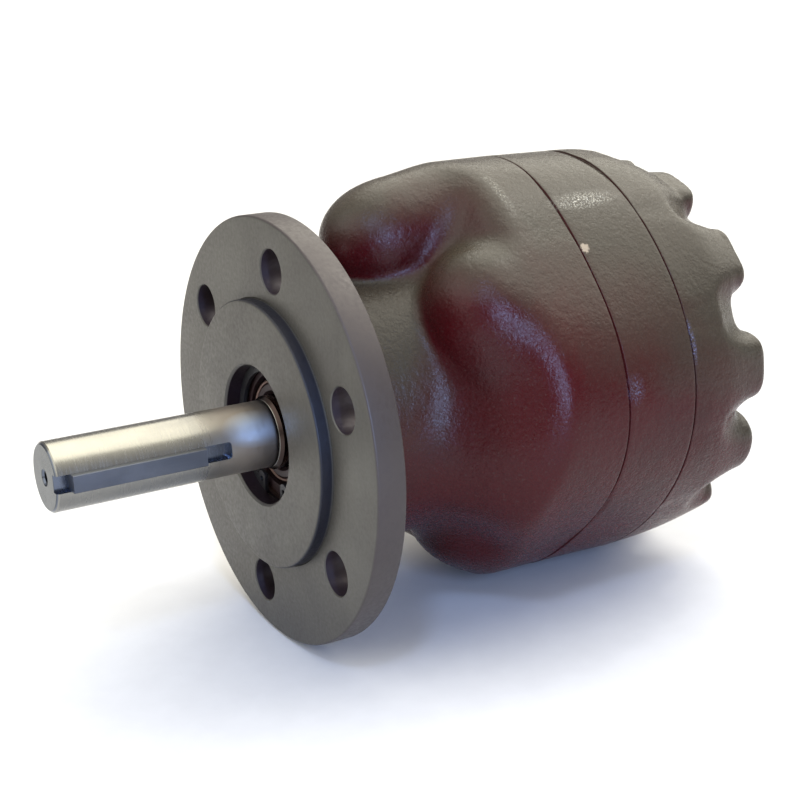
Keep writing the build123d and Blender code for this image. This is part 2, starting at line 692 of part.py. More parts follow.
def make_inner_rotor():
    """Four-lobed rotor: the curve that the five outer teeth roll out as it turns."""
    lobes = OUTER_TEETH - 1
    steps = ROTOR_POINTS * lobes
    reach = TOOTH_R + ROTOR_GAP
    points = []
    for index in range(steps):
        x, z, dx, dz = tooth_path(2 * pi * index / steps)
        speed = hypot(dx, dz)
        px = x - reach * dz / speed
        pz = z + reach * dx / speed
        points.append((px, pz))
    face = make_face(Spline(*points, periodic=True))
    turn = 90.0 + 180.0 / lobes
    face = Rot(0, 0, turn) * face - Circle(ROTOR_SEAT_D / 2 + THREAD_GAP)
    y0 = FRONT_SEAM + ROTOR_SIDE_GAP
    rotor = slab(face, y0, REAR_SEAM - ROTOR_SIDE_GAP)
    keyway_top = ROTOR_SEAT_D / 2 + ROTOR_KEY_H / 2
    keyway = Pos(0, keyway_top / 2) * Rectangle(ROTOR_KEY_W, keyway_top)
    return rotor - slab(keyway, FRONT_SEAM - PAST, REAR_SEAM + PAST)


def make_outer_rotor():
    """Ring with five round inward teeth, turning about the chamber's axis."""
    cavity = Circle(ROOT_R)
    for x, z in around(OUTER_TEETH, 90.0, TOOTH_CENTRE_R):
        cavity -= Pos(x, z) * Circle(TOOTH_R)
    face = Circle(ROTOR_R) - cavity
    return raised(slab(face, FRONT_SEAM + ROTOR_SIDE_GAP, REAR_SEAM - ROTOR_SIDE_GAP))


def make_pieces():
    """Every node of the motor by name."""
    front_inner, front_outer, front_cage, rollers = make_front_bearing()
    rear_inner, rear_outer, rear_cage, balls = make_rear_bearing()
    seal_case, seal_lip, garter = make_seal()
    plate_hole = ROTOR_SEAT_D / 2 + SHAFT_GAP
    sleeve_y0 = FRONT_SEAM + ROTOR_SIDE_GAP
    sleeve_y1 = REAR_SEAM - ROTOR_SIDE_GAP
    spacer_r = FRONT_BEARING_D / 2 - THREAD_GAP
    spacer_in = FRONT_JOURNAL_D / 2 + THREAD_GAP
    spacer_end = PLATE_FRONT - 2 * STEP_L
    return {
        "front_housing": make_front_housing(),
        "rotor_ring": make_rotor_ring(),
        "rear_cover": make_rear_cover(),
        "cover_screws": make_screws(),
        "dowel_pins": make_dowels(),
        "front_ring_seal": ring_seal(FRONT_SEAM),
        "rear_ring_seal": ring_seal(REAR_SEAM),
        "front_wear_plate": wear_plate(PLATE_FRONT, FRONT_SEAM, plate_hole, False),
        "rear_wear_plate": wear_plate(REAR_SEAM, PLATE_BACK, plate_hole, True),
        "rotor_sleeve": raised(tube(SLEEVE_R - SLEEVE_T, SLEEVE_R, sleeve_y0, sleeve_y1)),
        "drain_plug": make_drain_plug(),
        "seal_case": seal_case,
        "seal_lip": seal_lip,
        "seal_garter_spring": garter,
        "seal_snap_ring": make_snap_ring(),
        "front_bearing_outer_race": front_outer,
        "front_bearing_inner_race": front_inner,
        "front_bearing_cage": front_cage,
        "front_bearing_rollers": rollers,
        "bearing_spacer": tube(spacer_r - SPACER_T, spacer_r, FRONT_BEARING_END, PLATE_FRONT),
        "rear_bearing_outer_race": rear_outer,
        "rear_bearing_inner_race": rear_inner,
        "rear_bearing_cage": rear_cage,
        "rear_bearing_balls": balls,
        "output_shaft": make_output_shaft(),
        "output_key": make_output_key(),
        "rotor_key": rotor_key_box(THREAD_GAP),
        "shaft_spacer": tube(spacer_in, spacer_in + SHAFT_SPACER_T, FRONT_BEARING_END, spacer_end),
        "inner_rotor": make_inner_rotor(),
        "outer_rotor": make_outer_rotor(),
    }


os.makedirs("parts", exist_ok=True)
for name, shape in make_pieces().items():
    export_step(shape, "parts/" + name + ".step")
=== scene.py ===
import json
import math

import bmesh
import bpy
import numpy as np
from mathutils import Matrix, Vector


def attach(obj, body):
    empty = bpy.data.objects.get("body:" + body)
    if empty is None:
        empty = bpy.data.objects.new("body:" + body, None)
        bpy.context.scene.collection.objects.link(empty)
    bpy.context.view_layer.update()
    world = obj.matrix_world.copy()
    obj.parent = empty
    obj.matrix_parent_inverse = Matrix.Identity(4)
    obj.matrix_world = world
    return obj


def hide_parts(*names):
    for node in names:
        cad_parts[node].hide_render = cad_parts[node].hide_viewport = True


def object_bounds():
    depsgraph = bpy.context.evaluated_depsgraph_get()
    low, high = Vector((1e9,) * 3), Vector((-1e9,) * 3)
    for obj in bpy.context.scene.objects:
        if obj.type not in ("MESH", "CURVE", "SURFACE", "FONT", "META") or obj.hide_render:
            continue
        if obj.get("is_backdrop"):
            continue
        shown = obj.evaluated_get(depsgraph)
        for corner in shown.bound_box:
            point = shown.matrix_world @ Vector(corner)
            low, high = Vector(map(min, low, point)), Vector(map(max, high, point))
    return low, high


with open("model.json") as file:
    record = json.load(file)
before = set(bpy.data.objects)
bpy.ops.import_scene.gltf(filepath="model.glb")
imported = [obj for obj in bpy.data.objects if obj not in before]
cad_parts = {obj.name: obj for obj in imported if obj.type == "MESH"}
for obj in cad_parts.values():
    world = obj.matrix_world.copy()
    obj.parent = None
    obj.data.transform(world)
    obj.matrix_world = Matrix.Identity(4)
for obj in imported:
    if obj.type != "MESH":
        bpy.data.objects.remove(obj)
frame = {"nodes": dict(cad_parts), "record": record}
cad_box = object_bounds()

# A flange-mounted hydraulic motor. The shaft lies along Y and points to -Y, +Z is up.
# Shapes are worked out in millimetres and made in metres. The housing, the ring and the
# cover of the part get finer skins here, and every other node keeps its own mesh.
MM = 0.001

# Sizes of the part
FLANGE_R = 101.6
FLANGE_T = 14.3
FLANGE_EDGE = 1.2
FLANGE_INSIDE_R = 50.0
BOLTS = 6
BOLT_R = 79.375
HOLE_R = 10.32
HOLE_EDGE = 0.5
BOLT_START = 83.0
FLANGE_SIDES = 288
HOLE_SIDES = 64
PILOT_R = 63.5
PILOT_H = 6.35
PILOT_RELIEF_W = 0.5
PILOT_RELIEF_DEPTH = 0.4
BORE_R = 33.0
BORE_EDGE = 1.0
SNAP_GROOVE_START = 1.4
SNAP_GROOVE_END = 3.4
SNAP_GROOVE_DEPTH = 1.6
RISE = 11.5
BODY_R = 101.6
BODY_LOBE = 4.0
LOBES = 4
REAR_R = 102.6
REAR_LOBE = 2.0
FRONT_SEAM = 130.0
REAR_SEAM = 170.0
RIDGE = 195.0
COVER_BACK = 212.0
COVER_BACK_EDGE = 5.0
BOSS_FACE = 221.0
COVER_SLOPE = 11.0
BOSSES = 12
BOSS_START = 8.0
BOSS_PLACE_R = 86.0
BOSS_BASE_R = 18.6
BOSS_TOP_R = 14.5
BOSS_EDGE = 4.5
BOSS_BLEND = 8.0
HEAD_HOLE_R = 8.4
HEAD_SEAT = 210.2
HEAD_HOLE_EDGE = 0.5
HEAD_HOLE_FLARE = 1.5
HUB_R = 24.0
HUB_FACE = 217.0
HUB_EDGE = 2.5
PORT_X = 47.0
PORT_R = 12.35
PORT_FACE = 216.0
PORT_FACE_R = 19.5
PORT_EDGE = 1.2
PORT_FLOOR = 196.0
PASSAGE_R = 7.5
PASSAGE_DEPTH = 4.0
THREAD_STEP = 1.4
THREAD_DEPTH = 0.7
THREAD_START = 0.2
THREAD_CLEAR = 2.0
THREAD_ROOT = 0.2
THREAD_CREST = 0.6
DRAIN_Y = 112.0
DRAIN_R = 6.5
DRAIN_DEPTH = 12.0
DRAIN_SPARE = 4.0
SPOT_R = 11.0
SPOT_DEPTH = 1.5
SEAM_GAP = 0.34

# How far a cutter runs past a face
PAST = 1.0


def angles(count, start):
    """Equally spaced directions in radians, start in degrees from +X towards +Z."""
    return [math.radians(start + 360.0 * k / count) for k in range(count)]


# Rounded solids, each as a distance in millimetres that is negative inside


def blend(a, b, k):
    """Union of two distances, with a fillet about k wide where they meet."""
    h = np.maximum(k - np.abs(a - b), 0.0) / k
    return np.minimum(a, b) - h * h * k * 0.25


def trim(a, b, k):
    """What two distances share, with an edge rounded over about k."""
    return -blend(-a, -b, k)


def corner(a, b, r):
    """What two faces enclose, with an edge of radius r."""
    qa = a + r
    qb = b + r
    out = np.hypot(np.maximum(qa, 0.0), np.maximum(qb, 0.0))
    return out + np.minimum(np.maximum(qa, qb), 0.0) - r


def swell(x, z, mean, lobe):
    """Distance from the lobed wall of the body, about the body's own axis."""
    r = np.hypot(x, z)
    return r - (mean + lobe * np.cos(LOBES * np.arctan2(z, x)))


def post(x, y, z, turn, out, r, start, edge, pull=1.0):
    """Round bar along the motor that begins at start with an edge of radius edge."""
    cx = out * math.cos(turn)
    cz = out * math.sin(turn)
    return corner(np.hypot(x - cx, z - cz) - r, (start - y) * pull, edge)


def ease(value, low, high):
    """Goes smoothly from 0 at low to 1 at high."""
    t = np.clip((value - low) / (high - low), 0.0, 1.0)
    return t * t * (3.0 - 2.0 * t)


def lift(x, z):
    """Angle up from the sides in radians, the same on both of them."""
    return np.arctan2(z, np.abs(x))


# The front casting's forms, about the body's own axis. The cone ahead of the shoulder starts
# further forward at the sides, and CONE_PULL brings its value near to a true distance.
# A pair is where a form starts and stops coming in or fading, as angles up from the sides.
# Only SIDE_FADE counts its angles from SIDE_MIDDLE.
CONE_R = 100.0
CONE_START = 97.0
CONE_SLOPE = 1.5
CONE_PULL = 0.55
SIDE_AHEAD = 5.0
SIDE_MIDDLE = -0.1
SIDE_FADE = (0.35, 0.75)
SHOULDER_R = 8.0
NOSE_ROUND = 0.97
NOSE_BLEND = 7.0
NOSE_SOFT_FADE = (0.1, 0.95)
TOP_NOSE_TURN = 95.0
TOP_NOSE_OUT = 72.0
TOP_NOSE_R = 26.4
TOP_NOSE_FRONT = 36.5
TOP_NOSE_GROWTH = 0.11
TOP_NOSE_GROWS_AT = 66.0
TOP_NOSE_GROWS_OVER = 16.0
TOP_NOSE_PULL = 0.8
TOP_NOSE_BLEND = 9.0
NECK_R = 59.0
NECK_FLARE = 12.0
NECK_END = 98.0
NECK_BLEND = 6.0
NECK_BLEND_BELOW = 22.0
NECK_SOFT_START = (-1.5, -0.5)
NECK_SOFT_END = (-0.4, 0.45)
FOOT_R = 76.0
FOOT_DEPTH = 0.6
FOOT_BLEND = 12.0
CASTING_EDGE = 2.0

NOSES = [
    # direction, centre radius, radius, front station, how much softer it blends low down
    (41.0, 66.0, 32.5, 58.5, 17.0),
    (148.0, 66.0, 34.0, 57.0, 10.0),
    (195.0, 66.0, 34.0, 66.0, 8.0),
    (241.0, 66.0, 34.0, 66.0, 2.0),
    (288.0, 64.5, 33.5, 68.5, 2.0),
    (345.0, 62.0, 37.0, 69.0, 15.0),
]


def casting(x, y, z):
    """Front casting: neck, shell and noses. z is from the body's axis."""
    side = swell(x, z, BODY_R, BODY_LOBE)
    height = lift(x, z)
    low = 1.0 - ease(height, *NOSE_SOFT_FADE)
    ahead = SIDE_AHEAD * (1.0 - ease(np.abs(height - SIDE_MIDDLE), *SIDE_FADE))
    cone_r = CONE_R + CONE_SLOPE * (y - CONE_START + ahead)
    body = corner(side, (np.hypot(x, z) - cone_r) * CONE_PULL, SHOULDER_R)
    for turn, out, r, start, soft in NOSES:
        one = post(x, y, z, math.radians(turn), out, r, start, NOSE_ROUND * r)
        body = blend(body, one, NOSE_BLEND + soft * low)
    grown = y - TOP_NOSE_GROWS_AT
    top = TOP_NOSE_R + TOP_NOSE_GROWTH * (grown + np.hypot(grown, TOP_NOSE_GROWS_OVER))
    turn = math.radians(TOP_NOSE_TURN)
    edge = NOSE_ROUND * top
    one = post(x, y, z, turn, TOP_NOSE_OUT, top, TOP_NOSE_FRONT, edge, TOP_NOSE_PULL)
    body = blend(body, one, TOP_NOSE_BLEND)
    share = np.clip((y - FLANGE_T) / (NECK_END - FLANGE_T), 0.0, 1.0)
    neck = np.hypot(x, z + RISE * (1.0 - share)) - (NECK_R + NECK_FLARE * share)
    foot = np.maximum(y - FLANGE_T + FOOT_DEPTH, np.hypot(x, z + RISE) - FOOT_R)
    neck = blend(neck, foot, FOOT_BLEND)
    soft = ease(height, *NECK_SOFT_START) * (1.0 - ease(height, *NECK_SOFT_END))
    body = blend(body, neck, NECK_BLEND + NECK_BLEND_BELOW * soft)
    return trim(body, side, CASTING_EDGE)


# The rear cover's forms. Its lobes fade between two stations. Its side tapers and then bends
# in, less as the height goes through its first span and more as it goes through its second.
# The upper bosses are set in behind the ridge, over a span of angles up from the sides.
# Bosses stand a little off their even places: turn in degrees, extra radius.
BOSS_SHAPES = {0: (-3.0, 1.5), 1: (1.5, 1.5), 2: (3.0, 0.0), 3: (2.0, 0.0)}
RIM_R = 95.6
RIDGE_FRONT = 191.0
LOBE_FADE = (176.0, 215.0)
SIDE_TAPER = 0.015
BEND_START = 178.0
BEND = 0.0017
BEND_LESS = 0.0012
BEND_LESS_SPAN = (10.0, 50.0)
BEND_MORE = 0.0042
BEND_MORE_SPAN = (50.0, 98.0)
BAND_PULL = 0.84
BAND_EDGE = 1.0
COVER_EDGE = 1.5
BOSS_BEND_START = 190.0
BOSS_BEND = 0.0008
BOSS_SET_IN = 0.13
SET_IN_SPAN = (0.35, 0.55)
FACE_BLEND = 4.0


def cover(x, y, z):
    """Rear cover: side, ridge, sloped band, bosses, hub and port faces."""
    side = swell(x, z, REAR_R, REAR_LOBE * (1.0 - ease(y, *LOBE_FADE)))
    height = np.abs(z)
    bend = BEND - BEND_LESS * ease(height, *BEND_LESS_SPAN)
    bend = bend + BEND_MORE * ease(height, *BEND_MORE_SPAN)
    side = side + SIDE_TAPER * (y - REAR_SEAM) + bend * np.maximum(y - BEND_START, 0.0) ** 2
    share = (y - RIDGE_FRONT) / (COVER_BACK - RIDGE_FRONT)
    band = (side + COVER_SLOPE * share) * BAND_PULL
    body = trim(side, band, BAND_EDGE)
    body = corner(body, y - COVER_BACK, COVER_BACK_EDGE)
    rim = np.hypot(x, z) - RIM_R
    far = side + BOSS_BEND * np.maximum(y - BOSS_BEND_START, 0.0) ** 2
    upper = ease(lift(x, z), *SET_IN_SPAN)
    set_in = BOSS_SET_IN * np.maximum(y - RIDGE_FRONT, 0.0) * upper
    far = np.minimum(far + set_in, rim)
    lean = (BOSS_BASE_R - BOSS_TOP_R) / (BOSS_FACE - RIDGE)
    posts = None
    for index, home in enumerate(angles(BOSSES, BOSS_START)):
        shift, more = BOSS_SHAPES.get(index, (0.0, 0.0))
        turn = home + math.radians(shift)
        cx = BOSS_PLACE_R * math.cos(turn)
        cz = BOSS_PLACE_R * math.sin(turn)
        r = BOSS_BASE_R + more - lean * (y - RIDGE)
        one = corner(np.hypot(x - cx, z - cz) - r, y - BOSS_FACE, BOSS_EDGE)
        posts = one if posts is None else np.minimum(posts, one)
    posts = trim(posts, far, FACE_BLEND)
    body = blend(body, posts, BOSS_BLEND)
    hub = corner(np.hypot(x, z + RISE) - HUB_R, y - HUB_FACE, HUB_EDGE)
    body = blend(body, hub, FACE_BLEND)
    for px in (PORT_X, -PORT_X):
        face = corner(np.hypot(x - px, z) - PORT_FACE_R, y - PORT_FACE, PORT_EDGE)
        body = blend(body, face, FACE_BLEND)
    return trim(body, np.minimum(side, rim), COVER_EDGE)


# Meshes from those solids


# Distance over which a gradient is taken, and the most that a point moves in one round
GRADIENT_STEP = 0.05
MOST_MOVE = 1.5


def slope(solid, p):
    """A solid's distance at points p, its unit gradient, and the gradient's size."""
    e = GRADIENT_STEP
    d = solid(p[:, 0], p[:, 1], p[:, 2])
    g = np.empty_like(p)
    for axis in range(3):
        q = p.copy()
        q[:, axis] += e
        g[:, axis] = (solid(q[:, 0], q[:, 1], q[:, 2]) - d) / e
    size = np.maximum(np.linalg.norm(g, axis=1), 1e-6)
    return d, g / size[:, None], size


def settle(solid, p, rounds):
    """Moves points onto the surface of a solid."""
    for _ in range(rounds):
        d, g, size = slope(solid, p)
        p = p - g * np.clip(d / size, -MOST_MOVE, MOST_MOVE)[:, None]
    return p


def net(solid, low, high, step):
    """Even quads over a solid's surface inside a box: one point in each cell that it crosses."""
    axes = [np.arange(low[k], high[k] + step, step) for k in range(3)]
    shape = [len(a) for a in axes]
    d = np.empty(shape, np.float32)
    yy, zz = np.meshgrid(axes[1], axes[2], indexing="ij")
    for i, xv in enumerate(axes[0]):
        d[i] = solid(np.full_like(yy, xv), yy, zz)
    inside = d < 0
    count = np.zeros([n - 1 for n in shape], np.int8)
    for i in (0, 1):
        for j in (0, 1):
            for k in (0, 1):
                count += inside[
                    i : shape[0] - 1 + i, j : shape[1] - 1 + j, k : shape[2] - 1 + k
                ]
    live = (count > 0) & (count < 8)
    number = np.full(live.shape, -1, np.int64)
    number[live] = np.arange(live.sum())
    cells = np.argwhere(live)
    p = np.stack([axes[k][cells[:, k]] + step / 2 for k in range(3)], 1)
    p = settle(solid, p, 4)
    quads = []
    for axis in range(3):
        a, b = [k for k in range(3) if k != axis]
        near = np.take(inside, range(shape[axis] - 1), axis)
        far = np.take(inside, range(1, shape[axis]), axis)
        at = np.argwhere(near != far)
        at = at[(at[:, a] > 0) & (at[:, b] > 0)]
        at = at[(at[:, a] < shape[a] - 1) & (at[:, b] < shape[b] - 1)]
        corners = []
        for da, db in ((0, 0), (-1, 0), (-1, -1), (0, -1)):
            c = at.copy()
            c[:, a] += da
            c[:, b] += db
            corners.append(number[c[:, 0], c[:, 1], c[:, 2]])
        q = np.stack(corners, 1)
        # Corners go round so that each face looks outwards
        out = near[at[:, 0], at[:, 1], at[:, 2]]
        flip = out if axis != 1 else ~out
        q[flip] = q[flip][:, ::-1]
        quads.append(q)
    quads = np.concatenate(quads)
    quads = quads[(quads >= 0).all(1)]
    for _ in range(2):
        p = settle(solid, relax(p, quads, 0.5), 2)
    return p, quads


def relax(p, quads, share):
    """Moves each point part of the way to the middle of its neighbours."""
    total = np.zeros_like(p)
    hits = np.zeros(len(p))
    for i in range(4):
        a = quads[:, i]
        b = quads[:, (i + 1) % 4]
        for k in range(3):
            total[:, k] += np.bincount(a, p[b, k], len(p))
            total[:, k] += np.bincount(b, p[a, k], len(p))
        hits += np.bincount(a, minlength=len(p)) + np.bincount(b, minlength=len(p))
    hits = np.maximum(hits, 1)
    return p + share * (total / hits[:, None] - p)


def add(name, data):
    """A new object in the scene."""
    obj = bpy.data.objects.new(name, data)
    bpy.context.scene.collection.objects.link(obj)
    return obj


def mesh_of(name, points, faces):
    """A new object from points in millimetres."""
    mesh = bpy.data.meshes.new(name)
    mesh.from_pydata((np.asarray(points) * MM).tolist(), [], [list(f) for f in faces])
    mesh.update()
    return add(name, mesh)


def smooth(obj, angle):
    """Smooth shading that keeps edges sharper than the angle."""
    mesh = obj.data
    mesh.polygons.foreach_set("use_smooth", [True] * len(mesh.polygons))
    mesh.set_sharp_from_angle(angle=math.radians(angle))
    mesh.update()


def clip(obj, y, keep_front):
    """Cuts an object straight across at station y and keeps one side of it."""
    bm = bmesh.new()
    bm.from_mesh(obj.data)
    geom = bm.verts[:] + bm.edges[:] + bm.faces[:]
    bmesh.ops.bisect_plane(
        bm,
        geom=geom,
        dist=1e-7,
        plane_co=(0, y * MM, 0),
        plane_no=(0, 1, 0),
        clear_outer=keep_front,
        clear_inner=not keep_front,
    )
    bm.to_mesh(obj.data)
    bm.free()


def turn_lip(obj, y, steps):
    """Rolls the open edge at station y inwards. steps are (inwards, along) in millimetres."""
    bm = bmesh.new()
    bm.from_mesh(obj.data)
    edges = [
        e
        for e in bm.edges
        if e.is_boundary and all(abs(v.co.y - y * MM) < 1e-5 for v in e.verts)
    ]
    start = {v: v.co.copy() for e in edges for v in e.verts}
    for inward, along in steps:
        result = bmesh.ops.extrude_edge_only(bm, edges=edges)["geom"]
        edges = [g for g in result if isinstance(g, bmesh.types.BMEdge)]
        verts = [g for g in result if isinstance(g, bmesh.types.BMVert)]
        moved = {}
        for v in verts:
            home = home_of(start, v)
            centre = Vector((0, home.y, RISE * MM))
            direction = (home - centre).normalized()
            v.co = home - direction * inward * MM + Vector((0, along * MM, 0))
            moved[v] = home
        start = moved
    bmesh.ops.recalc_face_normals(bm, faces=bm.faces)
    bm.to_mesh(obj.data)
    bm.free()


def home_of(start, v):
    """The resting place of the edge point that v was drawn out of."""
    for e in v.link_edges:
        other = e.other_vert(v)
        if other in start:
            return start[other]
    return v.co.copy()


def difference(obj, cutter):
    """Cuts one closed object out of another."""
    m = obj.modifiers.new("cut", "BOOLEAN")
    m.operation = "DIFFERENCE"
    m.solver = "EXACT"
    m.object = cutter
    graph = bpy.context.evaluated_depsgraph_get()
    cut = bpy.data.meshes.new_from_object(obj.evaluated_get(graph))
    obj.modifiers.clear()
    obj.data = cut
    bpy.data.objects.remove(cutter)


def face_out(obj):
    """Turns all faces of an object outwards."""
    bm = bmesh.new()
    bm.from_mesh(obj.data)
    bmesh.ops.recalc_face_normals(bm, faces=bm.faces)
    bm.to_mesh(obj.data)
    bm.free()
    return obj


def drills(name, holes, count=48):
    """One object of stepped round cutters along Y. Each hole is x, z and (radius, y) steps."""
    points = []
    faces = []
    for x, z, steps in holes:
        base = len(points)
        for r, y in steps:
            for k in range(count):
                a = 2 * math.pi * k / count
                points.append((x + r * math.cos(a), y, z + r * math.sin(a)))
        for s in range(len(steps) - 1):
            for k in range(count):
                a = base + s * count + k
                b = base + s * count + (k + 1) % count
                faces.append((a, a + count, b + count, b))
        faces.append([base + k for k in range(count)])
        last = base + (len(steps) - 1) * count
        faces.append([last + k for k in reversed(range(count))])
    return face_out(mesh_of(name, points, faces))


def lathe(name, outline, count):
    """A closed (radius, y) outline turned about the shaft's axis."""
    points = []
    faces = []
    for k in range(count):
        a = 2 * math.pi * k / count
        for r, y in outline:
            points.append((r * math.cos(a), y, r * math.sin(a)))
    n = len(outline)
    for k in range(count):
        for s in range(n):
            a = k * n + s
            b = k * n + (s + 1) % n
            c = (k + 1) % count * n + (s + 1) % n
            d = (k + 1) % count * n + s
            faces.append((a, b, c, d))
    return face_out(mesh_of(name, points, faces))


def arc(r, y, edge, a0, a1, count=4):
    """Points round a rounded edge, from angle a0 to a1 in degrees."""
    out = []
    for k in range(count + 1):
        a = math.radians(a0 + (a1 - a0) * k / count)
        out.append((r + edge * math.cos(a), y + edge * math.sin(a)))
    return out


# Materials


class Look:
    """Builds one material from nodes."""

    def __init__(self, name):
        self.mat = bpy.data.materials.new(name)
        self.mat.use_nodes = True
        self.tree = self.mat.node_tree
        self.shader = self.tree.nodes["Principled BSDF"]
        self.coordinates = self.new("ShaderNodeTexCoord")
        self.place = self.coordinates.outputs["Object"]

    def new(self, kind, **values):
        """A new node."""
        node = self.tree.nodes.new(kind)
        for key, value in values.items():
            setattr(node, key, value)
        return node

    def link(self, a, b):
        """Joins two sockets."""
        self.tree.links.new(a, b)

    def set(self, **values):
        """Sets plain values of the shader, such as Metallic."""
        for key, value in values.items():
            self.shader.inputs[key.replace("_", " ")].default_value = value

    def noise(self, scale, detail=4.0, rough=0.55, stretch=None, warp=0.0):
        """Noise in the object's own metres. Returns its value."""
        source = self.place
        if stretch:
            mapping = self.new("ShaderNodeMapping")
            mapping.inputs["Scale"].default_value = stretch
            self.link(source, mapping.inputs["Vector"])
            source = mapping.outputs["Vector"]
        node = self.new("ShaderNodeTexNoise")
        node.inputs["Scale"].default_value = scale
        node.inputs["Detail"].default_value = detail
        node.inputs["Roughness"].default_value = rough
        node.inputs["Distortion"].default_value = warp
        self.link(source, node.inputs["Vector"])
        return node.outputs["Fac"]

    def ramp(self, value, stops):
        """A colour ramp. stops are (place, colour)."""
        node = self.new("ShaderNodeValToRGB")
        while len(node.color_ramp.elements) < len(stops):
            node.color_ramp.elements.new(0.5)
        for element, (place, colour) in zip(node.color_ramp.elements, stops):
            element.position = place
            element.color = tuple(colour) + (1.0,)
        self.link(value, node.inputs["Fac"])
        return node.outputs["Color"]

    def span(self, value, low, high, to_low, to_high):
        """Maps a value from one range to another, held at the ends."""
        node = self.new("ShaderNodeMapRange")
        for key, number in (
            ("From Min", low),
            ("From Max", high),
            ("To Min", to_low),
            ("To Max", to_high),
        ):
            node.inputs[key].default_value = number
        self.link(value, node.inputs["Value"])
        return node.outputs["Result"]

    def mix(self, share, a, b):
        """Mix of two colours. Each is a socket or a plain colour."""
        node = self.new("ShaderNodeMix", data_type="RGBA")
        for socket, value in ((node.inputs[6], a), (node.inputs[7], b)):
            if isinstance(value, tuple):
                socket.default_value = value + (1.0,)
            else:
                self.link(value, socket)
        if isinstance(share, float):
            node.inputs[0].default_value = share
        else:
            self.link(share, node.inputs[0])
        return node.outputs[2]

    def math(self, kind, a, b):
        """A sum, product or the like of two values. Each is a socket or a plain number."""
        node = self.new("ShaderNodeMath", operation=kind)
        for socket, value in ((node.inputs[0], a), (node.inputs[1], b)):
            if isinstance(value, (int, float)):
                socket.default_value = value
            else:
                self.link(value, socket)
        return node.outputs[0]

    def product(self, first, *others):
        """Several values multiplied together."""
        for other in others:
            first = self.math("MULTIPLY", first, other)
        return first

    def split(self, socket):
        """A vector's X, Y and Z."""
        node = self.new("ShaderNodeSeparateXYZ")
        self.link(socket, node.inputs["Vector"])
        return node.outputs["X"], node.outputs["Y"], node.outputs["Z"]

    def parts(self):
        """The place's X, Y and Z."""
        return self.split(self.place)

    def radius(self):
        """Distance from the shaft's axis."""
        flat = self.new("ShaderNodeVectorMath", operation="MULTIPLY")
        flat.inputs[1].default_value = (1.0, 0.0, 1.0)
        self.link(self.place, flat.inputs[0])
        size = self.new("ShaderNodeVectorMath", operation="LENGTH")
        self.link(flat.outputs["Vector"], size.inputs[0])
        return size.outputs["Value"]

    def away(self, centre, stretch=(1.0, 1.0, 1.0)):
        """Distance from a place in metres, each direction counted by its stretch."""
        gap = self.new("ShaderNodeVectorMath", operation="SUBTRACT")
        gap.inputs[1].default_value = centre
        self.link(self.place, gap.inputs[0])
        scaled = self.new("ShaderNodeVectorMath", operation="MULTIPLY")
        scaled.inputs[1].default_value = stretch
        self.link(gap.outputs["Vector"], scaled.inputs[0])
        size = self.new("ShaderNodeVectorMath", operation="LENGTH")
        self.link(scaled.outputs["Vector"], size.inputs[0])
        return size.outputs["Value"]

    def facing(self):
        """The surface normal's X, Y and Z."""
        return self.split(self.coordinates.outputs["Normal"])

    def colour(self, socket):
        """Sets the shader's colour."""
        self.link(socket, self.shader.inputs["Base Color"])

    def rough(self, socket):
        """Sets the shader's roughness."""
        self.link(socket, self.shader.inputs["Roughness"])

    def bumps(self, *layers):
        """Bump layers, each (height, strength, distance in metres)."""
        normal = None
        for height, strength, distance in layers:
            node = self.new("ShaderNodeBump")
            node.inputs["Strength"].default_value = strength
            node.inputs["Distance"].default_value = distance
            self.link(height, node.inputs["Height"])
            if normal:
                self.link(normal, node.inputs["Normal"])
            normal = node.outputs["Normal"]
        self.link(normal, self.shader.inputs["Normal"])


# Painted glints: bright and bluish painted highlights on the enamel: place and reach in metres,
# stretch, colour
PAINTED_GLINTS = [
    ((0.046, 0.147, 0.1015), 0.0065, (1.0, 0.28, 1.0), (0.62, 0.58, 0.47)),
    ((0.033, 0.107, 0.1060), 0.0050, (0.26, 1.6, 0.26), (0.36, 0.34, 0.27)),
    ((0.103, 0.134, 0.0250), 0.0060, (1.0, 1.0, 0.7), (0.13, 0.14, 0.22)),
    ((0.099, 0.1712, 0.0410), 0.0040, (0.4, 2.5, 0.3), (0.22, 0.24, 0.42)),
]

# A ragged chip in the enamel beside the front seam, in metres
CHIP = (0.0661, 0.1322, 0.0833)
CHIP_INNER = 0.0019
CHIP_OUTER = 0.0026
CHIP_RAGGED = 0.0012


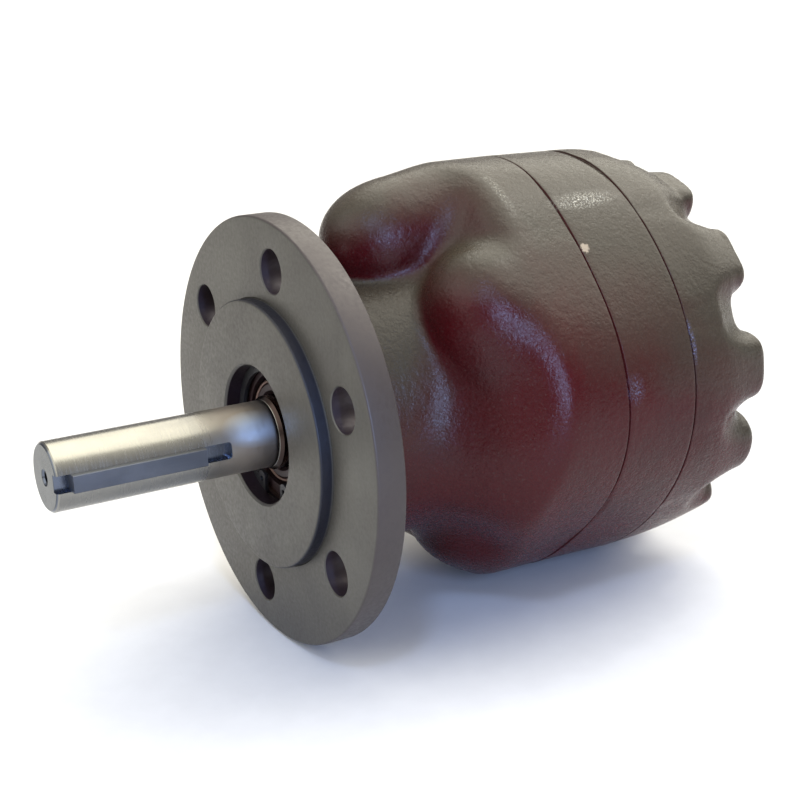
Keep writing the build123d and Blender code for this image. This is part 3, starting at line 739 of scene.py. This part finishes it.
def enamel():
    """Glossy maroon-brown enamel over sand-cast iron, with a painted khaki sheen on its upward
    faces.
    """
    k = Look("enamel")
    patches = k.noise(14.0, 5.0, 0.6, warp=0.4)
    coarse = k.noise(190.0, 3.0, 0.55)
    fine = k.noise(480.0, 3.0, 0.65)
    grit = k.noise(1000.0, 2.0, 0.7)
    spark = k.noise(1500.0, 3.0, 0.7)
    _, along, height = k.parts()
    base = k.ramp(
        patches,
        [
            (0.32, (0.050, 0.0025, 0.004)),
            (0.50, (0.043, 0.004, 0.005)),
            (0.68, (0.034, 0.007, 0.007)),
        ],
    )

    # Painted sheen: a khaki-brown painted reflection of the bright ceiling on faces that look up,
    # over most of the cover, and on the neck
    upward = k.math("ADD", k.facing()[2], k.span(patches, 0.3, 0.7, -0.12, 0.12))
    upward = k.math("ADD", upward, k.span(along, 0.09, 0.215, -0.12, 0.42))
    upward = k.math("ADD", upward, k.span(along, 0.040, 0.066, 0.42, 0.0))
    painted_sheen = k.span(upward, 0.22, 0.82, 0.0, 0.86)
    base = k.mix(painted_sheen, base, (0.046, 0.041, 0.027))
    speck = k.span(grit, 0.60, 0.74, 0.0, 0.45)
    base = k.mix(speck, base, (0.075, 0.055, 0.045))
    # Painted highlights: bright and bluish glints where the enamel catches the light
    for centre, size, stretch, colour in PAINTED_GLINTS:
        spot = k.span(k.away(centre, stretch), 0.3 * size, size, 1.0, 0.0)
        spot = k.product(spot, k.span(spark, 0.52, 0.64, 0.0, 1.0))
        base = k.mix(spot, base, colour)
    ragged = k.span(fine, 0.3, 0.7, -CHIP_RAGGED, CHIP_RAGGED)
    chip = k.span(k.math("ADD", k.away(CHIP), ragged), CHIP_INNER, CHIP_OUTER, 1.0, 0.0)
    k.colour(k.mix(chip, base, (0.34, 0.27, 0.19)))
    gloss = k.span(fine, 0.3, 0.7, 0.20, 0.36)
    k.rough(k.math("MAXIMUM", gloss, k.product(chip, 0.6)))
    k.set(Specular_IOR_Level=0.21)

    # Marks of a grinder round the middle of the cover
    low = k.span(height, -0.045, -0.015, 0.0, 1.0)
    high = k.span(height, 0.02, 0.045, 1.0, 0.0)
    behind = k.span(along, 0.172, 0.182, 0.0, 1.0)
    lines = k.noise(260.0, 4.0, 0.6, stretch=(1.0, 0.06, 1.0))
    grind = k.product(lines, k.product(low, high, behind))
    k.bumps(
        (coarse, 0.3, 0.0010),
        (fine, 0.55, 0.0005),
        (grit, 0.45, 0.00025),
        (grind, 0.5, 0.0006),
    )
    return k.mat


def flange_paint():
    """Thin, duller paint over the machined flange, with painted shade in its bolt holes and bore.
    The pilot's side is bare and blue-black.
    """
    k = Look("flange_paint")
    patches = k.noise(20.0, 6.0, 0.62, warp=0.6)
    fine = k.noise(520.0, 3.0, 0.6)
    base = k.ramp(
        patches,
        [
            (0.30, (0.053, 0.047, 0.039)),
            (0.55, (0.071, 0.065, 0.053)),
            (0.75, (0.089, 0.083, 0.068)),
        ],
    )
    out = k.radius()
    along = k.parts()[1]

    # Rim of the flange and side of the pilot, then painted shade on the walls of the bolt holes
    # and in the bore
    rim = k.span(out, 0.1008, 0.1012, 0.0, 0.75)
    base = k.mix(rim, base, (0.042, 0.030, 0.030))
    side = k.product(
        k.span(out, 0.0628, 0.0633, 0.0, 1.0),
        k.span(along, -0.0009, -0.0003, 1.0, 0.0),
        k.span(out, 0.0640, 0.0642, 1.0, 0.0),
    )
    base = k.mix(side, base, (0.008, 0.008, 0.014))
    # Painted shade: the walls of the bolt holes are darkened
    facing = k.math("ABSOLUTE", k.facing()[1], 0.0)
    wall = k.product(
        k.span(facing, 0.2, 0.4, 1.0, 0.0),
        k.span(out, 0.0920, 0.0930, 1.0, 0.0),
        k.span(out, 0.0665, 0.0675, 0.0, 1.0),
    )
    base = k.mix(wall, base, (0.030, 0.020, 0.026))
    # Painted shade: the inside of the bore is darkened
    bore = k.product(
        k.span(out, 0.0344, 0.0346, 1.0, 0.0),
        k.span(along, -0.0058, -0.0050, 0.0, 1.0),
    )
    k.colour(k.mix(bore, base, (0.014, 0.006, 0.009)))
    k.rough(k.span(fine, 0.3, 0.7, 0.36, 0.54))
    k.set(Metallic=0.25)
    k.bumps((patches, 0.15, 0.0006), (fine, 0.25, 0.00015))
    return k.mat


def steel(name, tint, low, high, metallic=1.0, grain=(1.0, 1.0, 1.0), scale=120.0, bump=0.12):
    """Machined steel with a fine directional grain. low and high are its roughness."""
    k = Look(name)
    lines = k.noise(scale, 6.0, 0.7, stretch=grain)
    stain = k.noise(35.0, 5.0, 0.6, warp=0.5)
    dark = tuple(c * 0.72 for c in tint)
    k.colour(k.mix(k.span(stain, 0.35, 0.7, 0.0, 1.0), dark, tint))
    k.rough(k.span(lines, 0.3, 0.7, low, high))
    k.set(Metallic=metallic)
    k.bumps((lines, bump, 0.00012))
    return k.mat


# A painted highlight: a patch of bluish window light painted on the shaft beside the flange, in
# metres
GLOW = (0.0130, -0.0135, 0.0090)
GLOW_STRETCH = (1.0, 0.6, 1.0)
GLOW_INNER = 0.002
GLOW_OUTER = 0.0095


def shaft_steel():
    """Ground steel: duller on the cut end, with painted light beside the flange (a lighter brown
    band and a bluish painted highlight) and painted shade in the keyway and on the step in the
    bore.
    """
    k = Look("shaft_steel")
    lines = k.noise(90.0, 6.0, 0.7, stretch=(1.0, 12.0, 1.0))
    stain = k.noise(30.0, 5.0, 0.6, stretch=(1.0, 0.4, 1.0), warp=0.5)
    along = k.parts()[1]
    out = k.radius()
    near = k.product(
        k.span(along, -0.040, -0.020, 0.0, 1.0),
        k.span(along, -0.004, -0.002, 1.0, 0.0),
        k.span(out, 0.0154, 0.0157, 0.0, 1.0),
    )
    glow = k.span(k.away(GLOW, GLOW_STRETCH), GLOW_INNER, GLOW_OUTER, 0.75, 0.0)
    stain = k.span(stain, 0.35, 0.7, 0.0, 1.0)
    tint = k.mix(stain, (0.23, 0.225, 0.21), (0.33, 0.32, 0.28))
    # Painted light beside the flange: a lighter brown band, and in it a bluish painted highlight
    tint = k.mix(k.product(near, 0.7), tint, (0.40, 0.34, 0.29))
    tint = k.mix(k.product(near, glow), tint, (0.70, 0.82, 0.98))

    # Painted shade on the floor of the keyway and on the step up to the seal's journal inside the
    # bore, and the duller cut end
    pocket = k.span(out, 0.0151, 0.0155, 1.0, 0.0)
    tint = k.mix(pocket, tint, (0.115, 0.130, 0.165))
    step = k.span(out, 0.0159, 0.0161, 0.0, 1.0)
    tint = k.mix(step, tint, (0.045, 0.032, 0.028))
    end = k.span(along, -0.10745, -0.1072, 1.0, 0.0)
    k.colour(k.mix(end, tint, (0.075, 0.08, 0.08)))
    k.rough(k.math("ADD", k.span(lines, 0.3, 0.7, 0.19, 0.31), k.product(near, 0.18)))
    k.set(Metallic=1.0)
    k.bumps((k.noise(1500.0, 2.0, 0.6), 0.02, 0.00005))
    return k.mat


def rubber():
    """Dark oily rubber."""
    k = Look("seal_rubber")
    fine = k.noise(600.0, 3.0, 0.6)
    k.colour(k.ramp(fine, [(0.3, (0.014, 0.005, 0.007)), (0.7, (0.032, 0.014, 0.016))]))
    k.rough(k.span(fine, 0.3, 0.7, 0.42, 0.6))
    k.bumps((fine, 0.2, 0.0001))
    return k.mat


KEY_GRAIN = (1.0, 0.15, 1.0)

MATS = {
    "housing_paint": enamel(),
    "flange": flange_paint(),
    "black_steel": steel("black_steel", (0.07, 0.07, 0.075), 0.35, 0.5, 0.8),
    "ground_steel": shaft_steel(),
    "key_steel": steel("key_steel", (0.12, 0.13, 0.155), 0.38, 0.52, 1.0, KEY_GRAIN, 300.0, 0.15),
    "bearing_steel": steel("bearing_steel", (0.66, 0.66, 0.68), 0.12, 0.24),
    "rotor_steel": steel("rotor_steel", (0.50, 0.50, 0.51), 0.25, 0.38),
    "bronze": steel("bronze", (0.58, 0.38, 0.17), 0.25, 0.4),
    "seal_rubber": rubber(),
    "seal_steel": steel("seal_steel", (0.20, 0.13, 0.11), 0.3, 0.45),
}


def wear(obj, key):
    """Gives an object one of the materials."""
    obj.data.materials.clear()
    obj.data.materials.append(MATS[key])


slots = {s["node"]: s["material_slot"] for s in frame["record"]["subparts"]}
for node, obj in frame["nodes"].items():
    wear(obj, slots[node])


def put(obj, body, key, *nodes):
    """Finishes a piece: material, the body it rides on and the nodes it stands for."""
    wear(obj, key)
    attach(obj, body)
    if nodes:
        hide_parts(*nodes)


# The finer skins


# Distance between the points of a skin, and the box that it is looked for in
STEP = 1.5
SKIN_REACH = 108.0
CASTING_SPAN = (6.0, 138.0)
COVER_SPAN = (163.0, 226.0)


def skin(name, solid, span):
    """A solid's surface between two stations, lifted from the body's axis to the part's frame."""
    low = (-SKIN_REACH, span[0], -SKIN_REACH)
    high = (SKIN_REACH, span[1], SKIN_REACH)
    p, quads = net(solid, low, high, STEP)
    return mesh_of(name, p + np.array([0.0, 0.0, RISE]), quads)


# Rolled edge of a casting at a seam and the painted floor of the groove: inwards, along
LIP_W = 0.32
GROOVE = LIP_W + SEAM_GAP - 0.02
LIP = [(0.05, 0.14), (0.16, 0.26), (0.35, 0.32), (0.9, 0.36), (1.1, GROOVE), (6.0, GROOVE)]

# How far the closed castings reach past the stations where they are cut
FRONT_SPARE = 4.0
SEAM_SPARE = 3.0


def casting_block(x, y, z):
    """The front casting closed off past both of its ends."""
    ends = np.maximum(FLANGE_T - FRONT_SPARE - y, y - FRONT_SEAM - SEAM_SPARE)
    return np.maximum(casting(x, y, z), ends)


def cover_block(x, y, z):
    """The rear cover closed off ahead of its seam."""
    return np.maximum(cover(x, y, z), REAR_SEAM - SEAM_SPARE - y)


def drain_cutter():
    """Spot face and hole of the drain, on the -X side."""
    face = BODY_R + BODY_LOBE - SPOT_DEPTH
    steps = [
        (DRAIN_R, face - DRAIN_DEPTH),
        (DRAIN_R, face),
        (SPOT_R, face),
        (SPOT_R, face + DRAIN_SPARE),
    ]
    cutter = drills("drain", [(DRAIN_Y, RISE, steps)])

    # The cutter's +Y becomes the motor's -X
    cutter.data.transform(Matrix(((0, -1, 0, 0), (1, 0, 0, 0), (0, 0, 1, 0), (0, 0, 0, 1))))
    return cutter


def make_casting():
    """Skin of the housing behind the flange."""
    obj = skin("front_casting", casting_block, CASTING_SPAN)
    difference(obj, drain_cutter())
    lip = FRONT_SEAM - SEAM_GAP - LIP_W
    clip(obj, FLANGE_T, False)
    clip(obj, lip, True)
    turn_lip(obj, lip, LIP)
    smooth(obj, 50.0)
    put(obj, "root", "housing_paint", "front_housing")


def bolt_steps():
    """Bolt hole through the flange, with both of its edges broken."""
    wide = HOLE_R + HOLE_EDGE
    return [
        (wide + PAST, -PAST),
        (wide, 0.0),
        (HOLE_R, HOLE_EDGE),
        (HOLE_R, FLANGE_T - HOLE_EDGE),
        (wide, FLANGE_T),
        (wide + PAST, FLANGE_T + PAST),
    ]


def make_flange():
    """Flange with its pilot, bore, groove for the retaining ring, and bolt holes."""
    rim = FLANGE_R - FLANGE_EDGE
    front = PILOT_H - FLANGE_EDGE
    groove_r = BORE_R + SNAP_GROOVE_DEPTH
    outline = [(FLANGE_INSIDE_R, FLANGE_T)]
    outline += arc(rim, FLANGE_T - FLANGE_EDGE, FLANGE_EDGE, 90, 0)
    outline += arc(rim, FLANGE_EDGE, FLANGE_EDGE, 0, -90)
    outline += [(PILOT_R + PILOT_RELIEF_W, 0.0), (PILOT_R, PILOT_RELIEF_DEPTH)]
    outline += arc(PILOT_R - FLANGE_EDGE, -front, FLANGE_EDGE, 0, -90)
    outline += [(BORE_R + BORE_EDGE, -PILOT_H), (BORE_R, BORE_EDGE - PILOT_H)]
    outline += [(BORE_R, SNAP_GROOVE_START), (groove_r, SNAP_GROOVE_START)]
    outline += [(groove_r, SNAP_GROOVE_END), (BORE_R, SNAP_GROOVE_END), (BORE_R, FLANGE_T)]
    obj = lathe("flange", outline, FLANGE_SIDES)
    holes = []
    for a in angles(BOLTS, BOLT_START):
        holes.append((BOLT_R * math.cos(a), BOLT_R * math.sin(a), bolt_steps()))
    difference(obj, drills("holes", holes, HOLE_SIDES))
    smooth(obj, 24.0)
    put(obj, "root", "flange")


# Places where the ring's edges are eased: direction and half width in radians, and depth
TOP_DENT = (math.radians(88.0), 0.30, 1.5)
LOW_DENT = (math.radians(332.0), 0.10, 0.8)

# How far from its edge the easing starts and is complete, at the back and in front
DENT_BEHIND = (3.4, 1.2)
DENT_AHEAD = (2.8, 1.0)

RING_SIDES = 480
RING_ROWS = 24


def dent(y, a):
    """Extra depth where the ring's edges are eased: on top behind, and low down in front."""
    start, full = DENT_BEHIND
    behind = float(ease(y, REAR_SEAM - start, REAR_SEAM - full))
    start, full = DENT_AHEAD
    ahead = 1.0 - float(ease(y, FRONT_SEAM + full, FRONT_SEAM + start))
    total = 0.0
    for (home, width, depth), share in ((TOP_DENT, behind), (LOW_DENT, ahead)):
        total += depth * math.exp(-(((a - home) / width) ** 2)) * share
    return total


def make_ring():
    """Skin of the middle ring, with both of its edges rolled in."""
    count = RING_SIDES
    front_lip = FRONT_SEAM + SEAM_GAP + LIP_W
    rear_lip = REAR_SEAM - SEAM_GAP - LIP_W
    rows = [(rear_lip + along, -inward) for inward, along in reversed(LIP)]
    rows += [(float(y), 0.0) for y in np.linspace(rear_lip, front_lip, RING_ROWS)]
    rows += [(front_lip - along, -inward) for inward, along in LIP]
    points = []
    faces = []
    for y, inset in rows:
        share = (y - FRONT_SEAM) / (REAR_SEAM - FRONT_SEAM)
        for k in range(count):
            a = 2 * math.pi * k / count
            front = BODY_R + BODY_LOBE * math.cos(LOBES * a)
            back = REAR_R + REAR_LOBE * math.cos(LOBES * a)
            r = front + (back - front) * share + inset - dent(y, a)
            points.append((r * math.cos(a), y, RISE + r * math.sin(a)))
    for row in range(len(rows) - 1):
        for k in range(count):
            a = row * count + k
            b = row * count + (k + 1) % count
            faces.append((a, b, b + count, a + count))
    obj = face_out(mesh_of("middle_ring", points, faces))
    smooth(obj, 60.0)
    put(obj, "root", "housing_paint", "rotor_ring")


def screw_steps():
    """Counterbore over one cover screw."""
    return [
        (HEAD_HOLE_R, HEAD_SEAT),
        (HEAD_HOLE_R, BOSS_FACE - HEAD_HOLE_EDGE),
        (HEAD_HOLE_R + HEAD_HOLE_FLARE, BOSS_FACE + PAST),
    ]


def port_steps():
    """Threaded port with a narrower passage at its end. Each turn is a plain ring."""
    steps = [(PASSAGE_R, PORT_FLOOR - PASSAGE_DEPTH), (PASSAGE_R, PORT_FLOOR)]
    turns = int((PORT_FACE - PORT_FLOOR - THREAD_CLEAR) / THREAD_STEP)
    for k in range(turns):
        y = PORT_FLOOR + THREAD_START + k * THREAD_STEP
        steps.append((PORT_R, y))
        steps.append((PORT_R, y + THREAD_ROOT * THREAD_STEP))
        steps.append((PORT_R - THREAD_DEPTH, y + THREAD_CREST * THREAD_STEP))
    steps.append((PORT_R, PORT_FACE - PORT_EDGE))
    steps.append((PORT_R + PORT_EDGE + PAST, PORT_FACE + PAST))
    return steps


def make_cover():
    """Skin of the rear cover, with its ports and the counterbores of its screws."""
    obj = skin("rear_casting", cover_block, COVER_SPAN)
    holes = [(px, RISE, port_steps()) for px in (PORT_X, -PORT_X)]
    for turn in angles(BOSSES, BOSS_START):
        x = BOSS_PLACE_R * math.cos(turn)
        z = BOSS_PLACE_R * math.sin(turn)
        holes.append((x, RISE + z, screw_steps()))
    difference(obj, drills("holes", holes))
    lip = REAR_SEAM + SEAM_GAP + LIP_W
    clip(obj, lip, False)
    turn_lip(obj, lip, [(inward, -along) for inward, along in LIP])
    smooth(obj, 40.0)
    put(obj, "root", "housing_paint", "rear_cover")


make_casting()
make_flange()
make_ring()
make_cover()


# Floor, camera and lights


# The floor's sheet lies under the flange's rim and the cover's lowest point
FLOOR_SIZE = 40.0
FLOOR_CELLS = 24
FLOOR_DROP = 101.9
COVER_DROP = 93.1

CAMERA_LENS = 67.5
CAMERA_SENSOR = 36.0
CAMERA_PLACE = (0.5991, -0.2897, 0.2314)
CAMERA_RIGHT = (0.5206, 0.8537, -0.0113)
CAMERA_AHEAD = (-0.8135, 0.492, -0.3101)

MIDDLE = (0.0, 0.08, 0.0)
WINDOW_BLUE = (0.38, 0.56, 1.0)


def make_floor():
    """A pale sheet under the flange's rim and the rear cover."""
    points = []
    faces = []
    for i in range(FLOOR_CELLS + 1):
        for j in range(FLOOR_CELLS + 1):
            x = FLOOR_SIZE * (i / FLOOR_CELLS - 0.5)
            points.append((x, FLOOR_SIZE * (j / FLOOR_CELLS - 0.5), 0.0))
    for i in range(FLOOR_CELLS):
        for j in range(FLOOR_CELLS):
            a = i * (FLOOR_CELLS + 1) + j
            faces.append((a, a + FLOOR_CELLS + 1, a + FLOOR_CELLS + 2, a + 1))
    mesh = bpy.data.meshes.new("floor")
    mesh.from_pydata(points, [], faces)
    obj = add("floor", mesh)
    tilt = math.atan((FLANGE_R - COVER_DROP) / (RIDGE - FLANGE_T))
    place = Matrix.Translation(Vector((0, FLANGE_T, -FLOOR_DROP)) * MM)
    obj.matrix_world = place @ Matrix.Rotation(tilt, 4, "X")
    k = Look("floor_paper")
    grain = k.noise(60.0, 4.0, 0.6)
    k.colour(k.ramp(grain, [(0.3, (0.64, 0.64, 0.65)), (0.7, (0.67, 0.67, 0.68))]))
    k.rough(k.span(grain, 0.3, 0.7, 0.7, 0.8))
    obj.data.materials.append(k.mat)
    obj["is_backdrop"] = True


def make_camera():
    """The camera of the main view."""
    data = bpy.data.cameras.new("camera")
    data.lens = CAMERA_LENS
    data.sensor_width = CAMERA_SENSOR
    data.clip_end = 50.0
    obj = add("camera", data)
    right = Vector(CAMERA_RIGHT).normalized()
    ahead = Vector(CAMERA_AHEAD).normalized()
    up = right.cross(ahead).normalized()
    right = ahead.cross(up).normalized()
    turn = Matrix((right, up, -ahead)).transposed().to_4x4()
    obj.matrix_world = Matrix.Translation(CAMERA_PLACE) @ turn
    bpy.context.scene.camera = obj


def look_at(obj, place, target):
    """Puts an object at a place, with its -Z towards the target."""
    obj.location = place
    direction = Vector(target) - Vector(place)
    obj.rotation_euler = direction.to_track_quat("-Z", "Y").to_euler()


def soft_light(name, place, width, height, power, colour):
    """A rectangular studio light that faces the middle of the motor."""
    data = bpy.data.lights.new(name, "AREA")
    data.shape = "RECTANGLE"
    data.size = width
    data.size_y = height
    data.energy = power
    data.color = colour
    look_at(add(name, data), place, MIDDLE)


def far_light(name, place, angle, power, colour):
    """A light far away in the direction of a place, as wide as the angle in degrees."""
    data = bpy.data.lights.new(name, "SUN")
    data.energy = power
    data.angle = math.radians(angle)
    data.color = colour
    look_at(add(name, data), place, (0.0, 0.0, 0.0))


def make_room():
    """Soft light from all round: a bright warm ceiling over dim walls."""
    world = bpy.data.worlds.new("room")
    world.use_nodes = True
    tree = world.node_tree
    place = tree.nodes.new("ShaderNodeTexCoord")
    split = tree.nodes.new("ShaderNodeSeparateXYZ")
    ramp = tree.nodes.new("ShaderNodeValToRGB")
    stops = [
        (0.0, (0.32, 0.31, 0.32)),
        (0.30, (0.34, 0.33, 0.34)),
        (0.70, (0.85, 0.82, 0.76)),
        (1.0, (1.5, 1.45, 1.3)),
    ]
    while len(ramp.color_ramp.elements) < len(stops):
        ramp.color_ramp.elements.new(0.5)
    for element, (height, colour) in zip(ramp.color_ramp.elements, stops):
        element.position = height
        element.color = colour + (1.0,)
    tree.links.new(place.outputs["Generated"], split.inputs["Vector"])
    tree.links.new(split.outputs["Z"], ramp.inputs["Fac"])
    tree.links.new(ramp.outputs["Color"], tree.nodes["Background"].inputs["Color"])
    bpy.context.scene.world = world


make_floor()
make_camera()
soft_light("window", (1.37, -0.27, 0.46), 0.07, 0.66, 14.0, WINDOW_BLUE)
soft_light("high_window", (0.78, -0.55, 1.18), 0.14, 0.16, 5.0, WINDOW_BLUE)
soft_light("front", (-0.10, -1.55, 1.0), 1.9, 1.9, 17.0, (1.0, 1.0, 0.93))
far_light("ceiling", (-0.22, 0.60, 0.85), 80.0, 3.3, (1.0, 0.965, 0.84))
far_light("tube", (-0.12, 0.56, 0.82), 3.0, 0.22, (1.0, 0.98, 0.90))
make_room()
bpy.context.scene.view_settings.view_transform = "Standard"


def as_list(value):
    """Plain nested lists of numbers."""
    if hasattr(value, "__len__"):
        return [as_list(v) for v in value]
    return float(value)


{"cad": as_list(cad_box), "visual": as_list(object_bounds())}
